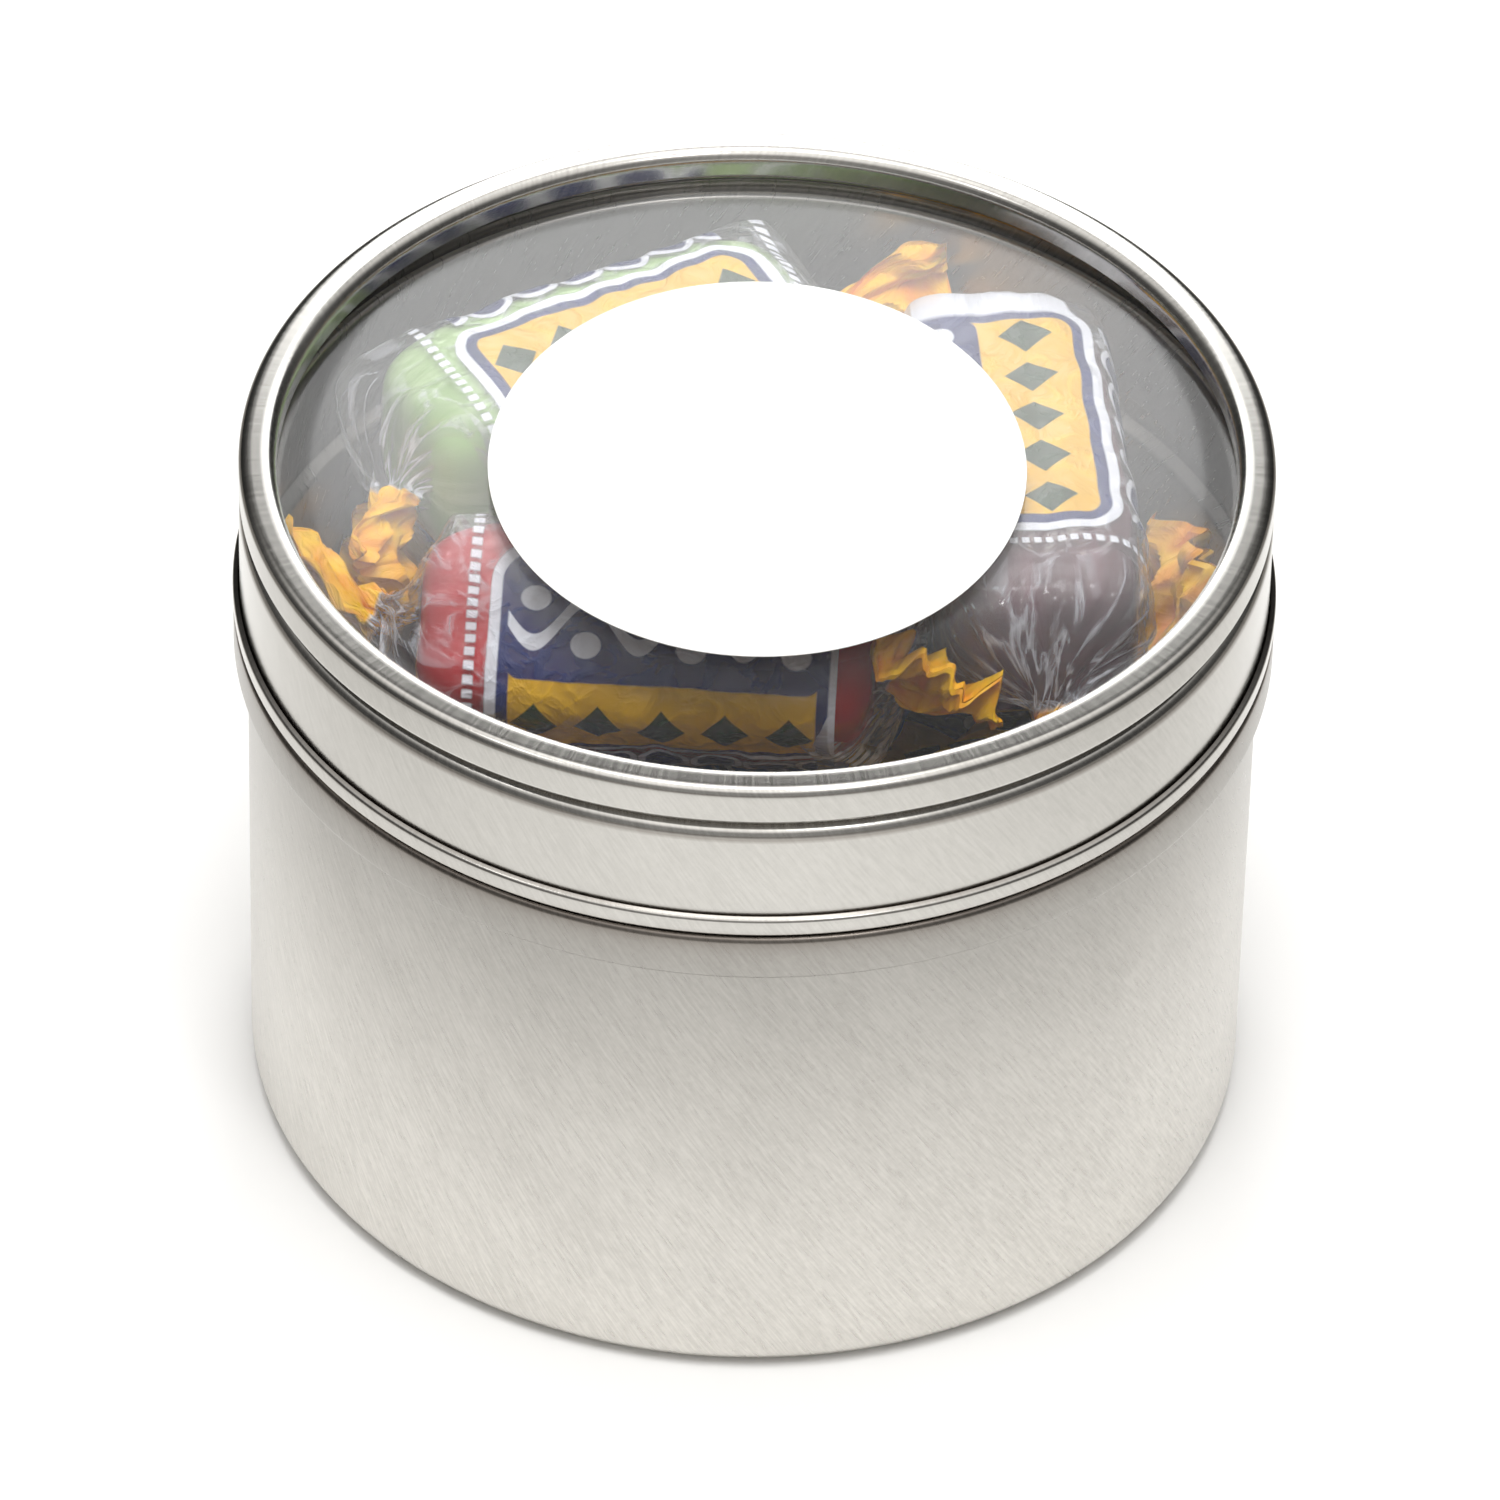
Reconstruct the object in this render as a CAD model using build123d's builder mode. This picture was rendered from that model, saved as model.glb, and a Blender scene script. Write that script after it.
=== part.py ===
from build123d import *

import os
from collections import namedtuple
from math import cos, radians, sin

# Round slip-lid tin with a clear window in its lid, filled with wrapped boiled sweets.
# Millimetres, +Z up. The origin is the centre of the base, on the surface the tin stands on.

# Sheet metal of the can and the lid
sheet = 0.25

# Can: one drawn piece with a raised panel in its base, a ledge swelled out under the lid, a
# drawn-in neck above it and a curled rim
can_radius = 32.07
can_corner = 1.9
base_ring_width = 4.0
base_step_width = 0.9
base_panel_rise = 0.4
ledge_step_out = 0.9
ledge_height = 3.6
ledge_slope_height = 0.5
ledge_slope_bend = 0.3
ledge_bend = 0.5
neck_draw_in = 0.37
rim_curl = 0.5
rim_turn_down = 0.7

# Sweets: boiled sugar blocks, each in its own twisted film wrapper. Their sizes are shares of
# the can's inside radius, so that the nine of them always fit.
sweet_length_share = 0.91
sweet_width_share = 0.415
sweet_height_share = 0.4
sweet_corner_share = 0.1
film_gap_share = 0.003
film_slack_share = 0.016
film_end_slack_share = 0.025
tail_neck_run_share = 0.075
tail_neck_size_share = 0.088
fan_run_share = 0.283
fan_width_share = 0.25
fan_thickness_share = 0.05
tail_root_share = 0.55
tail_corner_share = 0.3
rest_gap = 0.3
headspace = 1.1

# Lid: a rolled bead round the window, a groove under it, a skirt and a folded hem
lid_slip = 0.11
hem_height = 1.33
hem_fold = 0.44
skirt_height = 5.85
groove_height = 1.9
groove_depth = 0.88
groove_bend = 0.45
groove_upper_share = 0.35
bead_rise = 1.8
bead_width = 2.4
bead_outer_bend = 1.25
bead_inner_bend = 0.85
bead_lower_bend = 0.3

# Window disc and the blank label stuck on it
window_thickness = 0.5
window_edge_gap = 0.35
window_play = 0.05
label_width = 33.9
label_depth = 36.9
label_thickness = 0.1
label_shift = 0.65

# Each sweet: what it lies on, its centre as shares of the can's inside radius, the heading of
# its length and its roll about it in degrees, and its two tails, the one at its back end first.
# A tail turns sideways, rises and twists by three angles, and its fan has a share of the usual run.
Sweet = namedtuple("Sweet", "name rests_on right_share back_share heading roll tails")
Tail = namedtuple("Tail", "turn rise twist run_share")
sweets = [
    Sweet("bottom_blue", "", 0.3, 0.5, 150, 0, (Tail(-15, 0, 80, 0.9), Tail(-5, 45, 140, 1))),
    Sweet("bottom_green", "", -0.565, 0.03, 88, 0, (Tail(15, 0, 110, 1), Tail(-15, 0, 90, 1))),
    Sweet("bottom_red", "", 0.285, -0.52, 30, 0, (Tail(-15, 0, 90, 1), Tail(15, 0, 90, 1))),
    Sweet(
        "middle_purple", "bottom_blue", -0.063, 0.566, 8, 35,
        (Tail(-10, 10, 140, 0.9), Tail(-20, 0, 70, 1)),
    ),
    Sweet(
        "middle_red", "bottom_green", -0.456, -0.346, 125, 0,
        (Tail(20, -20, 60, 1), Tail(-15, 0, 70, 1)),
    ),
    Sweet(
        "middle_blue", "bottom_red", 0.456, -0.314, 50, 0,
        (Tail(0, 35, 20, 1), Tail(-15, 75, 0, 1.6)),
    ),
    Sweet(
        "top_green", "middle_purple", -0.308, 0.544, 30, 0,
        (Tail(60, -20, 100, 0.8), Tail(-20, 5, 80, 0.8)),
    ),
    Sweet(
        "top_red", "middle_red", -0.207, -0.163, -3, 35,
        (Tail(-30, -20, 120, 0.8), Tail(-55, 65, 120, 0.9)),
    ),
    Sweet(
        "top_purple", "middle_purple", 0.534, 0.214, 96, 0,
        (Tail(15, -50, 170, 1), Tail(-65, -75, 160, 0.8)),
    ),
]

os.makedirs("parts", exist_ok=True)


def finish(part, label):
    """Name a finished piece and write its file."""
    part.label = label
    export_step(part, f"parts/{label}.step")


# Sizes of a sweet and its filled wrapper
can_inside = can_radius - sheet
sweet_length = can_inside * sweet_length_share
sweet_width = can_inside * sweet_width_share
sweet_height = can_inside * sweet_height_share
sweet_corner = can_inside * sweet_corner_share
film_gap = can_inside * film_gap_share
film_slack = can_inside * film_slack_share
film_end_slack = can_inside * film_end_slack_share
neck_run = can_inside * tail_neck_run_share
neck_size = can_inside * tail_neck_size_share
fan_run = can_inside * fan_run_share
fan_width = can_inside * fan_width_share
fan_thickness = can_inside * fan_thickness_share
wrapper_length = sweet_length + 2 * film_end_slack
wrapper_width = sweet_width + 2 * film_slack
wrapper_height = sweet_height + 2 * film_slack
wrapper_corner = sweet_corner + film_slack


def rolled_half_height(roll):
    """Half the height of a filled wrapper that is rolled about its length."""
    across = abs(sin(radians(roll)))
    upright = abs(cos(radians(roll)))
    corner_loss = wrapper_corner * (across + upright - 1)
    return (wrapper_width * across + wrapper_height * upright) / 2 - corner_loss


# Levels of the sweets, from the base upwards
inside_floor = base_panel_rise + sheet
sweet_level = {}
sweet_top = {"": inside_floor}
for sweet in sweets:
    half_height = rolled_half_height(sweet.roll)
    sweet_level[sweet.name] = sweet_top[sweet.rests_on] + rest_gap + half_height
    sweet_top[sweet.name] = sweet_level[sweet.name] + half_height
contents_top = max(sweet_top.values())

# Levels of the lid and the can's rim
window_bottom = contents_top + headspace
window_top = window_bottom + window_thickness
bead_edge_level = window_top + window_play
bead_top = bead_edge_level + bead_rise
groove_top = window_bottom - window_play
skirt_top = groove_top - groove_height
skirt_bottom = skirt_top - skirt_height - hem_height
rim_top = skirt_top - rest_gap
ledge_top = skirt_bottom - rest_gap
ledge_level = ledge_top - ledge_height

# Radii, from the can outwards
half_sheet = sheet / 2
can_wall = can_radius - half_sheet
ledge_wall = can_wall + ledge_step_out
neck_wall = can_wall - neck_draw_in
rim_radius = neck_wall + rim_curl + half_sheet
skirt_radius = rim_radius + lid_slip + sheet
skirt_wall = skirt_radius - half_sheet
groove_radius = skirt_radius - groove_depth
bead_edge = skirt_wall - bead_width + sheet
window_radius = skirt_radius - sheet - window_edge_gap

# Can
with BuildPart() as tin_body:
    ring_inner = can_radius - can_corner - base_ring_width
    with BuildSketch(Plane.XZ) as can_section:
        with BuildLine() as can_line:
            FilletPolyline(
                (0, base_panel_rise + half_sheet),
                (ring_inner - base_step_width, base_panel_rise + half_sheet),
                (ring_inner, half_sheet),
                (can_wall, half_sheet),
                (can_wall, ledge_level),
                (ledge_wall, ledge_level + ledge_slope_height),
                (ledge_wall, ledge_top - half_sheet),
                (neck_wall, ledge_top - half_sheet),
                (neck_wall, rim_top - half_sheet),
                (neck_wall + rim_curl, rim_top - half_sheet),
                (neck_wall + rim_curl, rim_top - rim_turn_down),
                radius=[
                    base_panel_rise,
                    base_panel_rise,
                    can_corner - half_sheet,
                    ledge_slope_bend,
                    ledge_slope_bend,
                    ledge_bend,
                    ledge_bend,
                    rim_curl / 2,
                    rim_curl / 2,
                ],
            )
        trace(line_width=sheet)
    revolve(axis=Axis.Z)
finish(tin_body.part, "tin_body")

# Lid ring
with BuildPart() as lid_ring:
    with BuildSketch(Plane.XZ) as lid_section:
        with BuildLine() as lid_line:
            FilletPolyline(
                (bead_edge, bead_edge_level),
                (bead_edge, bead_top - half_sheet),
                (skirt_wall, bead_top - half_sheet),
                (skirt_wall, groove_top),
                (groove_radius, groove_top - groove_height * groove_upper_share),
                (skirt_wall, skirt_top),
                (skirt_wall, skirt_bottom + half_sheet),
                (skirt_wall + hem_fold, skirt_bottom + half_sheet),
                (skirt_wall + hem_fold, skirt_bottom + hem_height),
                radius=[
                    bead_inner_bend,
                    bead_outer_bend,
                    bead_lower_bend,
                    groove_bend,
                    groove_bend,
                    hem_fold / 2,
                    hem_fold / 2,
                ],
            )
        trace(line_width=sheet)
    revolve(axis=Axis.Z)
finish(lid_ring.part, "lid_ring")

# Window disc, loose in the lid between the groove and the bead
with BuildPart() as window_disc:
    with BuildSketch(Plane.XY.offset(window_bottom)):
        Circle(window_radius)
    extrude(amount=window_thickness)
finish(window_disc.part, "window_disc")

# Blank label on the window
with BuildPart() as window_label:
    with BuildSketch(Plane.XY.offset(window_top)):
        with Locations((0, label_shift)):
            Ellipse(label_width / 2, label_depth / 2)
    extrude(amount=label_thickness)
finish(window_label.part, "window_label")


def rounded_block(length, width, height, corner):
    """A block with all its edges rounded."""
    with BuildPart() as block:
        Box(length, width, height)
        fillet(block.edges(), corner)
    return block.part


def tail_plane(origin, turn, rise, twist):
    """The plane across a tail, with its normal along the tail and its X along the fan."""
    turn, rise, twist = radians(turn), radians(rise), radians(twist)
    along = Vector(cos(rise) * cos(turn), cos(rise) * sin(turn), sin(rise))
    level = Vector(-sin(turn), cos(turn), 0)
    fan = level * cos(twist) + along.cross(level) * sin(twist)
    return Plane(origin=origin, x_dir=fan, z_dir=along)


def moved_along(plane, distance):
    """The plane moved along its own normal."""
    return Plane(plane.origin + plane.z_dir * distance, plane.x_dir, plane.z_dir)


def tail_sections(heading, tail):
    """The planes and sizes of the root, the neck and the tip of a tail."""
    root = tail_plane(Vector(0, 0, 0), heading, 0, 0)
    root = moved_along(root, (wrapper_length - film_end_slack) / 2)
    neck = tail_plane(root.origin, heading + tail.turn / 2, tail.rise / 2, tail.twist / 2)
    neck = moved_along(neck, neck_run)
    tip = tail_plane(neck.origin, heading + tail.turn, tail.rise, tail.twist)
    tip = moved_along(tip, fan_run * tail.run_share)
    root_size = (wrapper_width * tail_root_share, wrapper_height * tail_root_share)
    return [(root, root_size), (neck, (neck_size, neck_size)), (tip, (fan_width, fan_thickness))]


def film_wrapper(tails):
    """A closed film round one sweet, drawn into a neck and spread into a fan at both ends."""
    with BuildPart() as wrapper:
        add(rounded_block(wrapper_length, wrapper_width, wrapper_height, wrapper_corner))
        for heading, tail in zip((180, 0), tails):
            for plane, (width, thickness) in tail_sections(heading, tail):
                with BuildSketch(plane):
                    RectangleRounded(width, thickness, min(width, thickness) * tail_corner_share)
            loft(ruled=True)
        add(
            rounded_block(
                sweet_length + 2 * film_gap,
                sweet_width + 2 * film_gap,
                sweet_height + 2 * film_gap,
                sweet_corner,
            ),
            mode=Mode.SUBTRACT,
        )
    return wrapper.part


# Sweets and their wrappers
block = rounded_block(sweet_length, sweet_width, sweet_height, sweet_corner)
for sweet in sweets:
    centre = (
        can_inside * sweet.right_share,
        can_inside * sweet.back_share,
        sweet_level[sweet.name],
    )
    place = Location(centre) * Location((0, 0, 0), (0, 0, sweet.heading))
    place = place * Location((0, 0, 0), (sweet.roll, 0, 0))
    finish(block.moved(place), f"{sweet.name}_sweet")
    finish(film_wrapper(sweet.tails).moved(place), f"{sweet.name}_wrapper")
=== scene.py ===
"""A round slip-lid tin with a clear window in its lid, filled with wrapped boiled sweets.

Sizes are in millimetres until a mesh is made, and in metres after that. +Z is up, the origin is
the centre of the tin's base, and -Y is the side that the camera looks at.
"""

import logging
from dataclasses import dataclass
from enum import Enum
from math import cos, pi, radians, sin, tan

import bmesh
import bpy
import numpy as np
from bpy.types import Material, Node, NodeSocket, NodeTree, Object
from mathutils import Matrix, Vector

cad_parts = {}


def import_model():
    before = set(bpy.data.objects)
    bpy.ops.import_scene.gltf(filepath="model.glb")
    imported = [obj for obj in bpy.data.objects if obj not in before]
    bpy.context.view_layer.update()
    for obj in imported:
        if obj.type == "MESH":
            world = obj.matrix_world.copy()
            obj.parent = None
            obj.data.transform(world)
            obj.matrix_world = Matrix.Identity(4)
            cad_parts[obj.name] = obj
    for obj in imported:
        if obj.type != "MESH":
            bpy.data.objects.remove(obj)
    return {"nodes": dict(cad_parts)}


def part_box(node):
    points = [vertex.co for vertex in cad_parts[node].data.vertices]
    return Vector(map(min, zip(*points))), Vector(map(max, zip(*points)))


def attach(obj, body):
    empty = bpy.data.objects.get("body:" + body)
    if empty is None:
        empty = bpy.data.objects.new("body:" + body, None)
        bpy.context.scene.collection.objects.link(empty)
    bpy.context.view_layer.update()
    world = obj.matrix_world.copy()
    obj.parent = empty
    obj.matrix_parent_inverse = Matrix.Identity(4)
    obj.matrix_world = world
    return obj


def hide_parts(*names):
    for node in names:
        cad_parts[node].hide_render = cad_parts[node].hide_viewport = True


MM = 0.001
MERGE_DISTANCE = 1e-7
SHARP_ANGLE = radians(38)
Value = Node | NodeSocket
log = logging.getLogger("window_tin")


def linear(hex_colour: str) -> tuple[float, float, float, float]:
    """Turn an sRGB colour into the linear one that the shaders take.

    Args:
        hex_colour: the colour as "#rrggbb".

    Returns:
        Red, green, blue and an alpha of one.
    """
    parts = np.array([int(hex_colour[i : i + 2], 16) for i in (1, 3, 5)]) / 255
    parts = np.where(parts <= 0.04045, parts / 12.92, ((parts + 0.055) / 1.055) ** 2.4)
    return (*parts.tolist(), 1.0)


class Graph:
    """A node tree that a finish or the studio's light fills.

    What goes into a node is a number, a colour as "#rrggbb", another node, which gives its first
    output, or one of its other outputs.
    """

    def __init__(self, tree: NodeTree) -> None:
        """Empty a tree and keep it."""
        tree.nodes.clear()
        self.tree = tree

    def add(self, kind: str, inputs: dict | tuple = (), **settings) -> Node:
        """Add one node with its settings and links.

        Args:
            kind: the node's Blender type, without the "ShaderNode" in front.
            inputs: its sockets by name or number, or the first ones in their order.
            settings: its properties by name.

        Returns:
            The new node.
        """
        node = self.tree.nodes.new("ShaderNode" + kind)
        for name, value in settings.items():
            setattr(node, name, value)
        if isinstance(inputs, tuple):
            inputs = dict(enumerate(inputs))
        for name, value in inputs.items():
            if isinstance(value, Node):
                value = value.outputs[0]
            if isinstance(value, NodeSocket):
                self.tree.links.new(value, node.inputs[name])
            else:
                node.inputs[name].default_value = linear(value) if isinstance(value, str) else value
        return node


# Shapes


def levels(node: str) -> tuple[float, float]:
    """Return the lowest and highest level of a solid, in millimetres."""
    low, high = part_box(node)
    return low.z / MM, high.z / MM


def filleted_line(corners: list, steps: int = 9) -> np.ndarray:
    """Round the corners of a line.

    Each arc starts where the line comes within bend * tan(turn / 2) of its corner, and runs
    round a centre that lies one bend to the side of that start.

    Args:
        corners: the line's corners as (x, y, bend), with a bend of 0 at both ends.
        steps: points in each arc.

    Returns:
        The rounded line, one row a point.
    """
    table = np.array(corners, float)
    points, bends = table[:, :2], table[1:-1, 2]
    pieces = [points[:1]]
    for before, corner, after, bend in zip(points, points[1:], points[2:], bends):
        come = (corner - before) / np.linalg.norm(corner - before)
        leave = (after - corner) / np.linalg.norm(after - corner)
        side = np.sign(come[0] * leave[1] - come[1] * leave[0])
        turn = np.arccos(np.clip(come @ leave, -1, 1))
        start = corner - come * bend * tan(turn / 2)
        inward = side * np.array([-come[1], come[0]])
        angle = side * np.linspace(0, turn, steps)[:, None]
        spoke = -inward * bend
        turned_spoke = np.array([-spoke[1], spoke[0]])
        arc = np.cos(angle) * spoke + np.sin(angle) * turned_spoke
        pieces.append(start + inward * bend + arc)
    return np.vstack([*pieces, points[-1:]])


def refined(line: np.ndarray, longest: float) -> np.ndarray:
    """Divide a line's long runs, so that none is longer than the length given."""
    pieces = []
    for start, end in zip(line, line[1:]):
        parts = max(1, int(np.ceil(np.linalg.norm(end - start) / longest)))
        pieces.append(start + (end - start) * np.linspace(0, 1, parts, False)[:, None])
    return np.vstack([*pieces, line[-1:]])


def sheet_outline(line: np.ndarray, thickness: float) -> np.ndarray:
    """Give a line the thickness of sheet metal: the line moved half of it to each side.

    Args:
        line: the middle of the sheet, as pairs.
        thickness: the sheet's thickness.

    Returns:
        The closed outline, out along one side and back along the other.
    """
    along = np.gradient(line, axis=0)
    along /= np.linalg.norm(along, axis=1)[:, None]
    across = np.stack([-along[:, 1], along[:, 0]], axis=1) * thickness / 2
    return np.vstack([line + across, (line - across)[::-1]])


def disc_outline(node: str, radius: float, edge: float, steps: int) -> np.ndarray:
    """Return half the outline of a flat disc, at a solid's levels.

    Args:
        node: the solid.
        radius: the disc's radius.
        edge: the radius of its rounded edges.
        steps: points in each of those.

    Returns:
        Radii and heights, from the middle of the top round to the middle of the foot.
    """
    bottom, top = levels(node)
    return filleted_line(
        [(0, top, 0), (radius, top, edge), (radius, bottom, edge), (0, bottom, 0)], steps
    )


def turned(outline: np.ndarray, segments: int) -> np.ndarray:
    """Turn an outline of radii and heights round the Z axis.

    A point (r, z) becomes (r cos a, r sin a, z) for each angle a of a whole turn.

    Args:
        outline: radii and heights.
        segments: divisions of the turn.

    Returns:
        A grid of points, outline by segments.
    """
    angle = np.linspace(0, 2 * pi, segments, endpoint=False)
    radius, height = outline[:, :1], outline[:, 1:]
    return np.stack(
        [radius * np.cos(angle), radius * np.sin(angle), height + 0 * angle], axis=-1
    )


def grid_object(
    name: str,
    grid: np.ndarray,
    close_rows: bool = False,
    maps: dict | None = None,
    uv: np.ndarray | None = None,
) -> Object:
    """Make an object of a grid of points, joining each to the next along and across.

    Args:
        name: the object's name.
        grid: points in millimetres, rows by columns by three; the last column joins the first.
        close_rows: whether the last row joins the first.
        maps: values for point attributes by name, each rows by columns.
        uv: a pair of map coordinates for each point, and for one column more.

    Returns:
        The object, smooth, with its doubles merged and its faces outwards.
    """
    rows, columns = grid.shape[:2]
    row = np.arange(rows if close_rows else rows - 1)[:, None]
    column = np.arange(columns)[None, :]
    sides = ((0, 0), (0, 1), (1, 1), (1, 0))
    faces = [(row + down) % rows * columns + (column + on) % columns for down, on in sides]
    mesh = bpy.data.meshes.new(name)
    points = (grid.reshape(-1, 3) * MM).tolist()
    mesh.from_pydata(points, [], np.stack(faces, axis=-1).reshape(-1, 4).tolist())
    for label, values in (maps or {}).items():
        attribute = mesh.attributes.new(label, "FLOAT", "POINT")
        attribute.data.foreach_set("value", values.astype(np.float32).ravel())
    if uv is not None:
        picked = np.stack([uv[row + down, column + on] for down, on in sides], axis=2)
        layer = mesh.uv_layers.new(name="film")
        layer.data.foreach_set("uv", picked.astype(np.float32).ravel())
    work = bmesh.new()
    work.from_mesh(mesh)
    bmesh.ops.remove_doubles(work, verts=work.verts, dist=MERGE_DISTANCE)
    bmesh.ops.recalc_face_normals(work, faces=work.faces)
    work.to_mesh(mesh)
    work.free()
    mesh.shade_smooth()
    mesh.set_sharp_from_angle(angle=SHARP_ANGLE)
    made = bpy.data.objects.new(name, mesh)
    bpy.context.scene.collection.objects.link(made)
    return made


def hand_over(piece: Object, body: str, node: str, material: Material) -> None:
    """Dress a piece, fix it to its body and let it stand for its solid.

    Args:
        piece: the new piece.
        body: the body that it moves with.
        node: the solid that it stands for.
        material: its material.
    """
    piece.data.materials.append(material)
    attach(piece, body)
    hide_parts(node)
    log.info("%s: %d faces, on %s", piece.name, len(piece.data.polygons), body)


# Finishes


@dataclass(frozen=True)
class Finish:
    """What all finishes share: a name, and a material made of the nodes that surface adds."""

    name: str

    def surface(self, graph: Graph) -> Node:
        """Add the finish's nodes and return its shader."""
        raise NotImplementedError

    def build(self) -> Material:
        """Make the material."""
        material = bpy.data.materials.new(self.name)
        material.use_nodes = True
        graph = Graph(material.node_tree)
        graph.add("OutputMaterial", {"Surface": self.surface(graph)})
        return material


@dataclass(frozen=True)
class Tinplate(Finish):
    """Tin-plated steel sheet, rolled and lightly polished: satin grey, with faint slanting marks.

    Its creases are darkened brown where the point attribute "crease" says so: partly tarnished
    metal, partly painted shade. Painted shade also darkens it up its wall, to a share of its
    colour over a range of heights.
    """

    colour: str
    shaded_colour: str
    # Brown of the creases: tarnished metal, deepened as painted shade.
    tarnish_and_shade_colour: str = "#5c4a3c"
    roughness: float = 0.3
    roughness_spread: tuple = (0.9, 1.12)
    roughness_range: tuple = (0.5, 0.85)
    tone_range: tuple = (0.66, 1.04)
    wrap_radius_mm: float = 32.0
    mark_mm: tuple = (2.4, 0.2)
    grain_mm: tuple = (0.5, 0.5)
    cloud_mm: tuple = (14.0, 7.0)
    slant: float = 58.0
    layer_share: float = 0.35
    relief_strength: float = 0.05
    relief_mm: float = 0.03
    # Painted shade up the wall: the share of the colour left at its top, and the heights it darkens
    # over.
    painted_shade_share: float = 1.0
    painted_shade_mm: tuple = (4.0, 34.0)

    def layer(self, graph: Graph, point: Node, size_mm: tuple, slant: float = 0.0) -> Node:
        """Add a noise with cells of a given length and width, lying at a slant in degrees."""
        slanted = graph.add("Mapping", {"Vector": point, "Rotation": (0, 0, radians(slant))})
        cells = (1 / size_mm[0], 1 / size_mm[1], 1)
        return graph.add("TexNoise", {
            "Vector": graph.add("Mapping", {"Vector": slanted, "Scale": cells}),
            "Scale": 1.0,
            "Detail": 3.0,
            "Roughness": 0.55,
            "Distortion": 0.4,
        })

    def surface(self, graph: Graph) -> Node:
        """Add a metal whose tone and gloss follow slanting marks, grain and clouds.

        They lie on the wall rolled out flat: the angle round it times its radius, and the
        height, in millimetres.
        """
        place = graph.add("TexCoord").outputs["Object"]
        x, y, z = graph.add("SeparateXYZ", (place,)).outputs
        angle = graph.add("Math", (y, x), operation="ARCTAN2")
        way = graph.add("Math", (angle, self.wrap_radius_mm), operation="MULTIPLY")
        height = graph.add("Math", (z, MM), operation="DIVIDE")
        wall = graph.add("CombineXYZ", (way, height))
        marks = self.layer(graph, wall, self.mark_mm, self.slant)
        grain = self.layer(graph, wall, self.grain_mm)
        cloud = self.layer(graph, wall, self.cloud_mm, self.slant)
        fine = graph.add("Math", (grain, self.layer_share, marks), operation="MULTIPLY_ADD")
        tone = graph.add("Math", (cloud, self.layer_share, fine), operation="MULTIPLY_ADD")
        tone = graph.add("MapRange", (tone, *self.tone_range))
        tones = {0: tone, 6: self.shaded_colour, 7: self.colour}
        clean = graph.add("Mix", tones, data_type="RGBA").outputs[2]
        # Painted shade: the colour darkens with height up the wall.
        painted_shade = graph.add("MapRange", (height, *self.painted_shade_mm, 1.0, self.painted_shade_share))
        clean = graph.add("VectorMath", {0: clean, "Scale": painted_shade}, operation="SCALE")
        # Darker brown in the creases: partly tarnished metal, partly painted shade.
        crease = graph.add("Attribute", attribute_name="crease").outputs["Fac"]
        tones = {0: crease, 6: clean, 7: self.tarnish_and_shade_colour}
        spread = (self.roughness * share for share in self.roughness_spread)
        relief = {"Strength": self.relief_strength, "Distance": self.relief_mm * MM}
        return graph.add("BsdfPrincipled", {
            "Base Color": graph.add("Mix", tones, data_type="RGBA").outputs[2],
            "Metallic": 1.0,
            "Roughness": graph.add("MapRange", (fine, *self.roughness_range, *spread)),
            "Normal": graph.add("Bump", {"Height": fine, **relief}),
        })


@dataclass(frozen=True)
class ClearSheet(Finish):
    """Clear polyester sheet: see-through, with a mirror gloss, a faint haze and fine scuffs."""

    name: str = "clear_polyester_sheet"
    haze_colour: str = "#f4f4f2"
    haze: float = 0.005
    scuff_haze: float = 0.045
    scuff_range: tuple = (0.68, 0.82)
    scuff_mm: float = 2.38
    scuff_stretch: float = 9.0
    scuff_turn: float = 28.0
    gloss_straight: float = 0.055
    gloss_steep: float = 0.9
    gloss_power: float = 4.0
    gloss_roughness: float = 0.12

    def surface(self, graph: Graph) -> Node:
        """Add a gloss by the angle of view over a clear sheet with some haze."""
        facing = graph.add("LayerWeight", {"Blend": 0.5}).outputs["Facing"]
        steep = graph.add("Math", (facing, self.gloss_power), operation="POWER")
        mirror = (steep, self.gloss_steep, self.gloss_straight)
        mirror = graph.add("Math", mirror, operation="MULTIPLY_ADD")
        long_way = graph.add("Mapping", {
            "Vector": graph.add("TexCoord").outputs["Object"],
            "Rotation": (0, 0, radians(self.scuff_turn)),
            "Scale": (1, self.scuff_stretch, 1),
        })
        scuffs = graph.add("TexNoise", {
            "Vector": long_way,
            "Scale": 1 / (self.scuff_mm * MM),
            "Detail": 2.0,
            "Roughness": 0.7,
        })
        haze = graph.add("MapRange", (scuffs, *self.scuff_range, self.haze, self.scuff_haze))
        milk = graph.add("BsdfDiffuse", {"Color": self.haze_colour})
        hazy = graph.add("MixShader", (haze, graph.add("BsdfTransparent"), milk))
        gloss = graph.add("BsdfGlossy", {"Roughness": self.gloss_roughness})
        return graph.add("MixShader", (mirror, hazy, gloss))


@dataclass(frozen=True)
class LabelPaper(Finish):
    """Coated white paper: plain and matt, with the faintest grain."""

    name: str = "coated_white_paper"
    colour: str = "#fbfbfa"
    shade_colour: str = "#f3f3f1"
    roughness: float = 0.6
    grain_mm: float = 0.3
    relief_mm: float = 0.02

    def surface(self, graph: Graph) -> Node:
        """Add white paper with a fine grain in its tone and surface."""
        grain = graph.add("TexNoise", {
            "Vector": graph.add("TexCoord").outputs["Object"],
            "Scale": 1 / (self.grain_mm * MM),
            "Detail": 3.0,
        })
        tones = {0: grain, 6: self.shade_colour, 7: self.colour}
        relief = {"Height": grain, "Strength": 0.1, "Distance": self.relief_mm * MM}
        return graph.add("BsdfPrincipled", {
            "Base Color": graph.add("Mix", tones, data_type="RGBA").outputs[2],
            "Roughness": self.roughness,
            "Normal": graph.add("Bump", relief),
        })


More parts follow.
